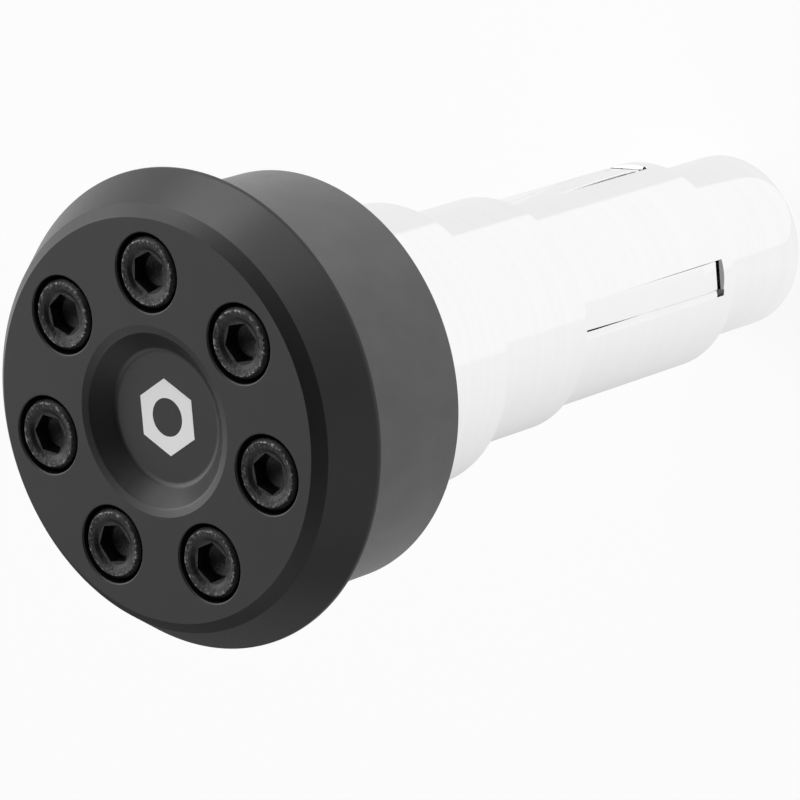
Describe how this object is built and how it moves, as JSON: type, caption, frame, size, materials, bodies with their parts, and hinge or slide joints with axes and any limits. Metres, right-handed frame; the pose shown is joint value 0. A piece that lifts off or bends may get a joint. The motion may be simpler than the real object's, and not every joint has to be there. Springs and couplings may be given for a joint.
{
  "type": "bar end weight",
  "caption": "Bar end weight: a flared cap screwed to a heavy collar on a stepped mandrel whose spring leaves grip the bore of a handlebar.",
  "frame": {"origin": "on the part's axis, in the plain end face of the mandrel on which it stands", "axes": "+Z along the axis from the mandrel's plain end to the cap's face; -Y and +X each pass through the middle of a spring leaf"},
  "size_m": [0.036, 0.036, 0.0706],
  "materials": {
    "cap": "satin black",
    "collar": "satin black",
    "screw": "black oxide",
    "mandrel": "bright turned",
    "leaf": "bright spring steel"
  },
  "bodies": {
    "root": {"front_cap": "cap", "collar": "collar", "centre_bolt": "screw", "mandrel": "mandrel", "cap_screw_1": "screw", "cap_screw_2": "screw", "cap_screw_3": "screw", "cap_screw_4": "screw", "cap_screw_5": "screw", "cap_screw_6": "screw", "cap_screw_7": "screw", "spring_leaf_1": "leaf", "spring_leaf_2": "leaf", "spring_leaf_3": "leaf", "spring_leaf_4": "leaf"}
  },
  "joints": []
}
